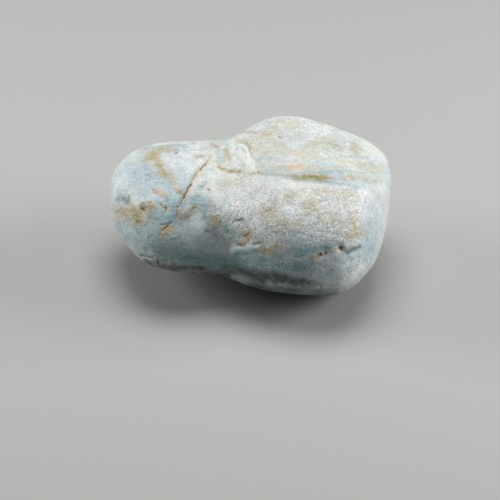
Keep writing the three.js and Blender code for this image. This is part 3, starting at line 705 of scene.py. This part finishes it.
class Sheet:
    """The places of a skin's points on a drawing sheet, in mm, and how far each faces the sheet."""

    def __init__(self, points, normals, right, back, origin, distance=None, unsteady=1.0):
        """The sheet lies square to back, the way to its viewer, with its middle at origin. A viewer
        at a distance sees what is near as larger. Edges waver by the share that unsteady gives."""
        up = back.cross(right)
        offset = (points - np.array(origin)) / MM
        toward = offset @ np.array(back)
        scale = 1.0 if distance is None else distance / (distance - toward * MM)
        across = offset @ np.array(right) * scale
        rise = offset @ np.array(up) * scale
        self.across = across + unsteady * wobble(rise, across, offset[:, 2])
        self.up = rise + unsteady * wobble(across, rise, offset[:, 1])
        facing = normals @ np.array(back)
        self.facing = smooth_share(facing, MARKS_BEGIN, MARKS_WHOLE)


def toward_camera(stage):
    """The direction from the stone to the camera."""
    return Vector((0, -math.cos(stage.elevation), math.sin(stage.elevation)))


def front_sheet(points, normals, unsteady):
    """The sheet of the front, as the camera sees it."""
    stage = bpy.context.scene.cobble_stage
    right = Vector((1, 0, 0))
    return Sheet(
        points, normals, right, toward_camera(stage), stage.aim, stage.distance, unsteady)


def back_sheet(points, normals, unsteady):
    """The sheet of the back, as it is seen from far away."""
    right = Vector((-1, 0, 0))
    back = Vector((0, math.cos(BACK_SHEET_TILT), math.sin(BACK_SHEET_TILT)))
    middle = (CAD_LOW + CAD_HIGH) / 2
    return Sheet(points, normals, right, back, middle, unsteady=unsteady)


def wobble(along, across, through):
    """A small unsteady shift in mm at each point."""
    return sum(
        height * np.sin(turn_along * along + turn_across * across + turn_through * through + start)
        for height, turn_along, turn_across, turn_through, start in EDGE_WAVES)


def smooth_share(value, start, end):
    """A share that eases from 0 at start to 1 at end."""
    t = np.clip((value - start) / (end - start), 0, 1)
    return t * t * (3 - 2 * t)


def distance_to_path(sheet, path):
    """Distance in mm from each point on the sheet to a path."""
    if len(path) == 1:
        path = path * 2
    nearest = np.full(len(sheet.across), np.inf)
    for (ax, ay), (bx, by) in zip(path, path[1:]):
        dx, dy = bx - ax, by - ay
        # a round spot is a path of no length, which must not be divided by
        length_squared = max(dx * dx + dy * dy, 1e-9)
        t = ((sheet.across - ax) * dx + (sheet.up - ay) * dy) / length_squared
        t = np.clip(t, 0, 1)
        off = np.hypot(sheet.across - ax - t * dx, sheet.up - ay - t * dy)
        nearest = np.minimum(nearest, off)
    return nearest


def coverage(sheet, marks, widen):
    """How strongly a set of marks covers each point, from 0 to 1."""
    bare = np.ones(len(sheet.across))
    for _name, path, half_width, strength in marks:
        share = np.clip(1 - (distance_to_path(sheet, path) / (half_width * widen)) ** 2, 0, 1)
        bare *= 1 - strength * share * share
    return (1 - bare) * sheet.facing


def covered(points, normals, kind, widen=1.0):
    """Coverage by the marks of one kind, front and back together."""
    unsteady = FISSURE_UNSTEADY if kind == "fissure" else 1.0
    front = coverage(front_sheet(points, normals, unsteady), FRONT_MARKS[kind], widen)
    rear = coverage(back_sheet(points, normals, unsteady), BACK_MARKS[kind], widen)
    return np.maximum(front, rear)


# ---- the stone's mesh --------------------------------------------------------------------------

# Corners of the frame's triangles that lie closer than this are one corner.
SAME_CORNER = 0.02 * MM
SMOOTH_PASSES = 4
# Cells are halved in a strip this much wider than a fissure, where it covers more than this.
FINE_STRIP = 1.6
FINE_COVERAGE = 0.02
# How much wider than its dark line a fissure is cut.
FISSURE_CUT = 1.25
# The smallest knock as a share of the largest.
SMALLEST_KNOCK = 0.3
# Painted shade on skin that looks down: how far down it looks where the shade begins and where it
# is whole, from 0 for level to 1 for straight down, and the strength of the whole shade.
DOWNWARD_SHADE_BEGINS = 0.05
DOWNWARD_SHADE_WHOLE = 0.9
DOWNWARD_SHADE_STRENGTH = 0.5


def read_mesh(mesh):
    """Points and normals of a mesh as arrays."""
    points = np.empty(len(mesh.vertices) * 3)
    mesh.vertices.foreach_get("co", points)
    normals = np.empty(len(mesh.vertices) * 3)
    mesh.vertex_normals.foreach_get("vector", normals)
    return points.reshape(-1, 3), normals.reshape(-1, 3)


def write_points(mesh, points):
    """Moves the points of a mesh to new places."""
    mesh.vertices.foreach_set("co", points.ravel())
    mesh.update()


def only(obj):
    """Makes obj the one selected and active object."""
    bpy.ops.object.select_all(action="DESELECT")
    obj.select_set(True)
    bpy.context.view_layer.objects.active = obj


def apply_modifier(obj, kind, **settings):
    """Adds one modifier with its settings and applies it."""
    only(obj)
    bpy.ops.object.modifier_add(type=kind)
    modifier = obj.modifiers[-1]
    for name, value in settings.items():
        setattr(modifier, name, value)
    bpy.ops.object.modifier_apply(modifier=modifier.name)


def copy_of_node(name, copy_name):
    """A copy of a node of the frame, with its doubled corners merged, free of any body."""
    only(frame["nodes"][name])
    bpy.ops.object.duplicate(linked=False)
    copy = bpy.context.view_layer.objects.active
    bpy.ops.object.parent_clear(type="CLEAR_KEEP_TRANSFORM")
    copy.name = copy_name
    copy.data.name = copy_name
    copy.data.materials.clear()
    for key in list(copy.keys()):
        if key.startswith("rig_"):
            del copy[key]
    bpy.ops.object.mode_set(mode="EDIT")
    bpy.ops.mesh.select_all(action="SELECT")
    bpy.ops.mesh.remove_doubles(threshold=SAME_CORNER)
    bpy.ops.mesh.normals_make_consistent(inside=False)
    bpy.ops.object.mode_set(mode="OBJECT")
    return copy


def smooth_skin(stone, shape):
    """Rounds the facets off and rebuilds the skin from even cells."""
    apply_modifier(stone, "SUBSURF", levels=2, render_levels=2)
    apply_modifier(stone, "REMESH", mode="VOXEL", voxel_size=shape.cell, use_smooth_shade=True)
    apply_modifier(stone, "SMOOTH", factor=0.5, iterations=SMOOTH_PASSES)


def refine_near_fissures(stone):
    """Halves the cells that fissures cross, so that their edges are crisp."""
    points, normals = read_mesh(stone.data)
    near = covered(points, normals, "fissure", widen=FINE_STRIP) > FINE_COVERAGE
    only(stone)
    bpy.ops.object.mode_set(mode="EDIT")
    bpy.ops.mesh.select_mode(type="VERT")
    bpy.ops.mesh.select_all(action="DESELECT")
    bpy.ops.object.mode_set(mode="OBJECT")
    stone.data.vertices.foreach_set("select", near)
    bpy.ops.object.mode_set(mode="EDIT")
    bpy.ops.mesh.subdivide(number_cuts=1, smoothness=0.0)
    bpy.ops.object.mode_set(mode="OBJECT")


def roughen(stone, name, size, height, depth=2):
    """Raises and sinks the skin by clouds of the given size, over the given height in all."""
    clouds = bpy.data.textures.new(name, "CLOUDS")
    clouds.noise_scale = size
    clouds.noise_depth = depth
    apply_modifier(
        stone, "DISPLACE", texture=clouds, texture_coords="LOCAL", mid_level=0.5,
        strength=height, direction="NORMAL")


def knock(stone, shape):
    """Small dents where other stones have knocked against this one."""
    points, normals = read_mesh(stone.data)
    chance = np.random.default_rng(shape.seed)
    depth = np.zeros(len(points))
    for _ in range(shape.dents):
        size = chance.uniform(SMALLEST_KNOCK, 1.0)
        middle = points[chance.integers(len(points))]
        off = np.linalg.norm(points - middle, axis=1) / (shape.dent_radius * size)
        depth = np.maximum(depth, shape.dent_depth * size * np.clip(1 - off * off, 0, 1))
    write_points(stone.data, points - normals * depth[:, None])


def cut_marks(stone, shape):
    """Cuts the fissures, sinks the hollows and raises the bruised edges."""
    points, normals = read_mesh(stone.data)
    height = shape.bruise_height * covered(points, normals, "bruise")
    height -= shape.hollow_depth * covered(points, normals, "hollow")
    height -= shape.fissure_depth * covered(points, normals, "fissure", widen=FISSURE_CUT)
    write_points(stone.data, points + normals * height[:, None])


def keep_on_rest_plane(stone):
    """Nothing of the skin reaches below the plane that the stone rests on."""
    points, _normals = read_mesh(stone.data)
    points[:, 2] = np.maximum(points[:, 2], 0)
    write_points(stone.data, points)


def record_marks(stone):
    """Stores on each vertex how strongly each kind of mark covers it, for the material."""
    points, normals = read_mesh(stone.data)
    # Painted shade, deepening where the skin looks down.
    downward_shade = DOWNWARD_SHADE_STRENGTH * smooth_share(-normals[:, 2], DOWNWARD_SHADE_BEGINS, DOWNWARD_SHADE_WHOLE)
    for kind in FRONT_MARKS:
        value = covered(points, normals, kind)
        if kind == "earth":
            value = np.maximum(value, downward_shade)
        layer = stone.data.attributes.new(kind, "FLOAT", "POINT")
        layer.data.foreach_set("value", value.astype(np.float32))


# ---- the stone's material ----------------------------------------------------------------------

# The planes of foliation lie along the seam: this turns them level.
FOLIATION_TURN = (math.radians(-32.7), math.radians(4.6), 0.0)
# How far bands, fibres and streaks of the surface are drawn out along those planes.
BAND_STRETCH = (14, 14, 1)
FIBRE_STRETCH = (6, 6, 1)
STREAK_STRETCH = (7, 7, 1)
# Colours that the grains between the crystals are mixed with.
DARK_GRAIN = (0.09, 0.12, 0.12)
WHITE_GRAIN = (0.92, 0.93, 0.95)
# A satin skin that lets a little light in.
SATIN = {
    "IOR": 1.5,
    "Specular IOR Level": 0.42,
    "Subsurface Weight": 0.08,
    "Subsurface Radius": (1.0, 0.9, 0.8),
    "Subsurface Scale": 0.6 * MM,
}
GRAIN_BUMP = {"Distance": 0.35 * MM, "Strength": 0.9}
# A mix node has several sockets of one name. These are the numbers of its colour ones.
MIX_COLOUR_A = 6
MIX_COLOUR_B = 7
MIX_COLOUR_RESULT = 2


class Shader:
    """Short names for the nodes of one material."""

    def __init__(self, material):
        material.use_nodes = True
        self.nodes = material.node_tree.nodes
        self.links = material.node_tree.links
        self.surface = self.nodes["Principled BSDF"]
        self.place = self.nodes.new("ShaderNodeTexCoord").outputs["Object"]

    def feed(self, socket, value):
        """Links a socket into another, or gives it a number, a vector or a colour."""
        if isinstance(value, bpy.types.NodeSocket):
            self.links.new(value, socket)
        elif hasattr(value, "__len__"):
            socket.default_value = (*value, 1.0) if len(socket.default_value) == 4 else value
        else:
            socket.default_value = value

    def add(self, kind, output, inputs, **settings):
        """One output of a new node with these settings and inputs."""
        node = self.nodes.new(kind)
        for name, value in settings.items():
            setattr(node, name, value)
        for socket, value in inputs.items():
            self.feed(node.inputs[socket], value)
        return node.outputs[output]

    def attribute(self, name):
        """How strongly one kind of mark covers the skin."""
        return self.add("ShaderNodeAttribute", "Fac", {}, attribute_name=name)

    def mapping(self, scale, rotation):
        """The stone's own coordinates, turned and then stretched."""
        inputs = {"Vector": self.place, "Rotation": rotation, "Scale": scale}
        return self.add("ShaderNodeMapping", "Vector", inputs, vector_type="TEXTURE")

    def noise(self, size, detail=3.0, roughness=0.55, place=None, distortion=0.0):
        """Noise with features of the given size in metres."""
        inputs = {
            "Vector": place or self.place, "Scale": 1 / size, "Detail": detail,
            "Roughness": roughness, "Distortion": distortion}
        return self.add("ShaderNodeTexNoise", "Fac", inputs)

    def crystals(self, size):
        """A grey value of its own for each crystal of the given size in metres."""
        inputs = {"Vector": self.place, "Scale": 1 / size}
        cells = self.add("ShaderNodeTexVoronoi", "Color", inputs)
        return self.add("ShaderNodeSeparateColor", "Red", {"Color": cells})

    def maths(self, operation, a, b, clamp=False):
        """Two values put together by an operation, and kept from 0 to 1 if clamp is set."""
        inputs = {0: a, 1: b}
        return self.add(
            "ShaderNodeMath", "Value", inputs, operation=operation, use_clamp=clamp)

    def sum(self, a, b):
        return self.maths("ADD", a, b)

    def difference(self, a, b):
        return self.maths("SUBTRACT", a, b)

    def product(self, a, b):
        return self.maths("MULTIPLY", a, b)

    def spread(self, value, low, high, to_low=0.0, to_high=1.0):
        """Value from low to high, as a smooth share from to_low to to_high."""
        inputs = {
            "Value": value, "From Min": low, "From Max": high, "To Min": to_low,
            "To Max": to_high}
        return self.add("ShaderNodeMapRange", "Result", inputs, interpolation_type="SMOOTHSTEP")

    def mix(self, share, a, b, blend="MIX"):
        """Colour a, with a share of it given over to colour b."""
        inputs = {"Factor": share, MIX_COLOUR_A: a, MIX_COLOUR_B: b}
        return self.add(
            "ShaderNodeMix", MIX_COLOUR_RESULT, inputs, data_type="RGBA", blend_type=blend)

    def over(self, ground, colour, where, share):
        """The ground with a share of a colour laid over it where a value says."""
        return self.mix(self.product(where, share), ground, colour)

    def shaded(self, colour, value):
        """A colour made lighter or darker by a value around 1."""
        inputs = {"Red": value, "Green": value, "Blue": value}
        tone = self.add("ShaderNodeCombineColor", "Color", inputs)
        return self.mix(1.0, colour, tone, "MULTIPLY")

    def washed(self, kind, size):
        """A kind of mark as an uneven wash, patchy at the given size."""
        noise = self.noise(size, detail=4.0, roughness=0.65)
        patchy = self.spread(noise, low=0.30, high=0.66, to_low=0.6, to_high=1.3)
        return self.maths("MULTIPLY", self.attribute(kind), patchy, clamp=True)

    def flecked(self, kind, size, crowding):
        """Flecks of the given size that crowd together where a kind of mark is strong."""
        noise = self.noise(size, detail=2.0, roughness=0.7)
        value = self.sum(noise, self.product(self.attribute(kind), crowding))
        return self.product(self.spread(value, low=0.66, high=0.78), self.attribute(kind))

    def broken(self, kind, size, softness, raggedness):
        """A kind of mark whose edge is broken up by noise of the given size."""
        edge = 0.08
        noise = self.noise(size, detail=4.0, roughness=0.6)
        ragged = self.product(self.difference(noise, 0.5), 2 * raggedness)
        inside = self.spread(self.attribute(kind), low=0.0, high=edge)
        value = self.sum(self.attribute(kind), self.product(ragged, inside))
        return self.spread(value, low=edge, high=edge + softness)


def jadeite(colours):
    """Pale granular jadeite with blue-green zones, bands along its foliation and iron stains."""
    material = bpy.data.materials.new("jadeite")
    s = Shader(material)
    # the whole stone is a little granular, and most so in its granular zones
    grainy = s.sum(s.product(s.attribute("grainy"), 0.7), 0.3)
    ground = clouded(s, colours)
    ground = foliated(s, colours, ground)
    ground = stained(s, colours, ground)
    ground = fibrous(s, ground)
    ground = crystalline(s, ground, grainy)
    ground = shade_crushed_edges_and_fissures(s, colours, ground)
    s.feed(s.surface.inputs["Base Color"], ground)
    give_satin(s)
    give_grain(s, grainy)
    return material


def clouded(s, colours):
    """Cool and warm greys in slow clouds, lavender and cream in the granular zones."""
    warmth = s.spread(s.noise(24 * MM), low=0.30, high=0.58)
    ground = s.mix(warmth, colours.cool, colours.warm)
    ground = s.over(ground, colours.cool, s.attribute("cool"), 0.85)
    # darker grey zones: painted shade on the lower parts, the stone's own tone elsewhere
    ground = s.over(ground, colours.grey, s.washed("grey", 7 * MM), 0.9)

    granular = s.broken("pale", 7 * MM, softness=0.9, raggedness=0.45)
    creamy = s.spread(s.noise(8 * MM, roughness=0.6), low=0.40, high=0.60)
    ground = s.over(ground, s.mix(creamy, colours.pale, colours.cream), granular, 0.9)

    veils = s.noise(3.2 * MM, detail=4.0, roughness=0.65, distortion=0.4)
    ground = s.over(ground, colours.sea, s.spread(veils, low=0.40, high=0.66), 0.28)
    tan = s.noise(4.0 * MM, detail=4.0, roughness=0.65, distortion=0.5)
    warm_share = s.product(s.difference(1.0, s.product(s.attribute("cool"), 0.8)), 0.2)
    ground = s.over(ground, colours.tan, s.spread(tan, low=0.52, high=0.72), warm_share)

    clouds = s.noise(4.2 * MM, detail=5.0, roughness=0.68, distortion=0.3)
    return s.shaded(ground, s.spread(clouds, low=0.30, high=0.70, to_low=0.86, to_high=1.08))


def foliated(s, colours, ground):
    """Thin straw-coloured bands and bluish ones along the foliation."""
    level = s.mapping(BAND_STRETCH, FOLIATION_TURN)
    bands = s.noise(3.0 * MM, detail=4.0, roughness=0.6, place=level, distortion=0.3)
    banded = s.sum(s.product(s.attribute("banded"), 0.66), 0.03)
    ground = s.over(ground, colours.straw, s.spread(bands, low=0.50, high=0.62), banded)
    return s.over(ground, colours.sea, s.spread(bands, low=0.48, high=0.36), banded)


def stained(s, colours, ground):
    """Blue-green zones, iron stains, salmon streaks and slate spots."""
    ground = s.over(ground, colours.teal, s.washed("teal", 5 * MM), 0.9)
    ground = s.over(ground, colours.ochre, s.washed("ochre", 2.4 * MM), 0.78)
    ground = s.over(ground, colours.rust, s.flecked("ochre", 0.9 * MM, crowding=0.30), 0.55)
    strongest = s.spread(s.attribute("ochre"), low=0.72, high=1.0)
    ground = s.over(ground, colours.moss, strongest, 0.7)
    ground = s.over(ground, colours.pink, s.washed("pink", 2.5 * MM), 0.9)
    ground = s.over(ground, colours.rust, s.washed("rust", 1.1 * MM), 0.85)
    return s.over(ground, colours.slate, s.washed("slate", 2.2 * MM), 0.9)


def fibrous(s, ground):
    """Fibres along the foliation, which show most in the grey and the blue-green zones."""
    level = s.mapping(FIBRE_STRETCH, FOLIATION_TURN)
    fibres = s.noise(0.9 * MM, detail=4.0, roughness=0.7, place=level)
    tone = s.spread(fibres, low=0.34, high=0.66, to_low=0.84, to_high=1.14)
    shown = s.sum(s.sum(s.attribute("grey"), s.attribute("teal")), 0.2)
    return s.mix(shown, ground, s.shaded(ground, tone))


def crystalline(s, ground, grainy):
    """Crystals, each a little lighter or darker, with dark and white grains between them."""
    mottle = s.noise(1.1 * MM, roughness=0.75)
    ground = s.shaded(ground, s.spread(mottle, low=0.30, high=0.70, to_low=0.92, to_high=1.06))
    tone = s.spread(s.crystals(0.5 * MM), low=0.0, high=1.0, to_low=0.68, to_high=1.24)
    ground = s.mix(grainy, ground, s.shaded(ground, tone))
    pepper = s.noise(0.55 * MM, detail=2.0, roughness=0.75)
    dark = s.mix(0.5, s.shaded(ground, 0.2), DARK_GRAIN)
    ground = s.over(ground, dark, s.spread(pepper, low=0.58, high=0.68), s.product(grainy, 0.9))
    salt = s.noise(0.65 * MM, detail=2.0, roughness=0.75)
    white = s.mix(0.35, s.shaded(ground, 1.35), WHITE_GRAIN)
    return s.over(ground, white, s.spread(salt, low=0.56, high=0.65), s.product(grainy, 0.95))


def shade_crushed_edges_and_fissures(s, colours, ground):
    """Earth rubbed into the underside, crushed edges, and earth in the fissures."""
    # painted shade on the underside
    ground = s.over(ground, colours.earth, s.washed("earth", 5 * MM), 0.9)
    # white broken edges and painted highlights on lips that catch the light
    bright_edges = s.broken("bruise", 1.1 * MM, softness=0.9, raggedness=0.8)
    ground = s.over(ground, colours.bruise, bright_edges, 0.75)
    filled = s.broken("fissure", 0.9 * MM, softness=1.0, raggedness=0.22)
    ground = s.over(ground, colours.olive, s.spread(filled, low=0.0, high=0.6), 0.8)
    return s.over(ground, colours.dark, s.spread(filled, low=0.3, high=1.0), 0.8)


def give_satin(s):
    """A satin skin, rougher in small patches."""
    patches = s.noise(1.6 * MM, roughness=0.6)
    roughness = s.spread(patches, low=0.3, high=0.7, to_low=0.46, to_high=0.66)
    s.feed(s.surface.inputs["Roughness"], roughness)
    for name, value in SATIN.items():
        s.feed(s.surface.inputs[name], value)


def give_grain(s, grainy):
    """Grain finer than the mesh, strongest in the granular zones, with streaks of foliation."""
    lumps = s.product(s.noise(1.0 * MM, detail=4.0, roughness=0.7), 0.75)
    grain = s.sum(lumps, s.product(s.crystals(0.75 * MM), 0.25))
    grain = s.product(grain, s.sum(s.product(grainy, 0.8), 0.55))
    level = s.mapping(STREAK_STRETCH, FOLIATION_TURN)
    streaks = s.noise(0.8 * MM, roughness=0.6, place=level)
    height = s.sum(grain, s.product(streaks, 0.35))
    bump = s.add("ShaderNodeBump", "Normal", {"Height": height, **GRAIN_BUMP})
    s.feed(s.surface.inputs["Normal"], bump)


# ---- operators ---------------------------------------------------------------------------------

# Each light's place, width and height in metres, and the setting that holds its power.
LIGHTS = {
    "overhead": ((0.0, 0.14, 0.79), 0.50, 0.45, "key_power"),
    "left": ((-0.72, 0.12, 0.32), 0.4, 0.4, "left_power"),
    "right": ((0.72, 0.02, 0.32), 0.4, 0.4, "right_power"),
}
FLOOR_WIDTH = 8.0
FLOOR_ROUGHNESS = 0.9
SKY_COLOUR = (0.95, 0.97, 1.0)
SENSOR_WIDTH_MM = 36
# The camera shows what lies between these distances.
CAMERA_NEAR = 0.05
CAMERA_FAR = 50


class COBBLE_OT_stone(bpy.types.Operator):
    """Makes the jadeite cobble from the frame's solid"""
    bl_idname = "cobble.stone"
    bl_label = "Jadeite cobble"
    bl_options = {"REGISTER", "UNDO"}

    def execute(self, context):
        shape = context.scene.cobble_shape
        stone = copy_of_node("cobble", "jadeite_cobble")
        smooth_skin(stone, shape)
        roughen(stone, "ripples", shape.ripple_size, shape.ripple_height)
        knock(stone, shape)
        refine_near_fissures(stone)
        cut_marks(stone, shape)
        record_marks(stone)
        roughen(stone, "grain", shape.grain_size, shape.grain_height, depth=3)
        keep_on_rest_plane(stone)
        only(stone)
        bpy.ops.object.shade_smooth()
        stone.data.materials.append(jadeite(context.scene.cobble_colours))
        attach(stone, "root")
        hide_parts("cobble")
        return {"FINISHED"}


class COBBLE_OT_stage(bpy.types.Operator):
    """Makes the floor, the lights and the camera"""
    bl_idname = "cobble.stage"
    bl_label = "Studio"
    bl_options = {"REGISTER", "UNDO"}

    def execute(self, context):
        stage = context.scene.cobble_stage
        lay_floor(stage)
        for name, (place, width, height, setting) in LIGHTS.items():
            light_from(place, width, height, getattr(stage, setting), name)
        set_surroundings(context.scene, stage)
        set_camera(context.scene, stage)
        return {"FINISHED"}


def lay_floor(stage):
    """A wide matt floor in the plane that the stone rests on."""
    bpy.ops.mesh.primitive_plane_add(size=FLOOR_WIDTH, location=(0, 0, 0))
    floor = bpy.context.view_layer.objects.active
    floor.name = "floor"
    material = bpy.data.materials.new("floor")
    material.use_nodes = True
    surface = material.node_tree.nodes["Principled BSDF"]
    surface.inputs["Base Color"].default_value = (*stage.floor_colour, 1)
    surface.inputs["Roughness"].default_value = FLOOR_ROUGHNESS
    floor.data.materials.append(material)


def light_from(place, width, height, power, name):
    """A soft rectangular light at place, turned to the stone."""
    middle = (CAD_LOW + CAD_HIGH) / 2
    turn = (Vector(place) - middle).to_track_quat("Z", "Y").to_euler()
    bpy.ops.object.light_add(type="AREA", location=place, rotation=turn)
    light = bpy.context.view_layer.objects.active
    light.name = name
    light.data.shape = "RECTANGLE"
    light.data.size = width
    light.data.size_y = height
    light.data.energy = power


def set_surroundings(scene, stage):
    """Even light from all round, and colours shown as they are."""
    world = bpy.data.worlds.new("studio")
    world.use_nodes = True
    background = world.node_tree.nodes["Background"]
    background.inputs["Color"].default_value = (*SKY_COLOUR, 1)
    background.inputs["Strength"].default_value = stage.fill
    scene.world = world
    scene.view_settings.view_transform = "Standard"


def set_camera(scene, stage):
    """The camera at its distance from the aim, looking down at it."""
    bpy.ops.object.camera_add(
        location=Vector(stage.aim) + toward_camera(stage) * stage.distance,
        rotation=(math.pi / 2 - stage.elevation, 0, 0))
    camera = bpy.context.view_layer.objects.active
    camera.data.lens = stage.lens
    camera.data.sensor_width = SENSOR_WIDTH_MM
    camera.data.clip_start = CAMERA_NEAR
    camera.data.clip_end = CAMERA_FAR
    scene.camera = camera


# ---- panel and registration --------------------------------------------------------------------

class COBBLE_PT_panel(bpy.types.Panel):
    """Sizes, colours and steps of the cobble"""
    bl_label = "Cobble"
    bl_idname = "COBBLE_PT_panel"
    bl_space_type = "VIEW_3D"
    bl_region_type = "UI"
    bl_category = "Cobble"

    def draw(self, context):
        layout = self.layout
        for group in (context.scene.cobble_shape, context.scene.cobble_colours,
                      context.scene.cobble_stage):
            column = layout.column(heading=type(group).__doc__)
            for name in type(group).__annotations__:
                column.prop(group, name)
        layout.operator(COBBLE_OT_stone.bl_idname)
        layout.operator(COBBLE_OT_stage.bl_idname)


CLASSES = (
    CobbleShape, CobbleColours, CobbleStage, COBBLE_OT_stone, COBBLE_OT_stage, COBBLE_PT_panel)


def register():
    for cls in CLASSES:
        bpy.utils.register_class(cls)
    bpy.types.Scene.cobble_shape = bpy.props.PointerProperty(type=CobbleShape)
    bpy.types.Scene.cobble_colours = bpy.props.PointerProperty(type=CobbleColours)
    bpy.types.Scene.cobble_stage = bpy.props.PointerProperty(type=CobbleStage)


def unregister():
    del bpy.types.Scene.cobble_stage
    del bpy.types.Scene.cobble_colours
    del bpy.types.Scene.cobble_shape
    for cls in reversed(CLASSES):
        bpy.utils.unregister_class(cls)


def main():
    register()
    bpy.ops.cobble.stone()
    bpy.ops.cobble.stage()


if __name__ == "__main__":
    main()
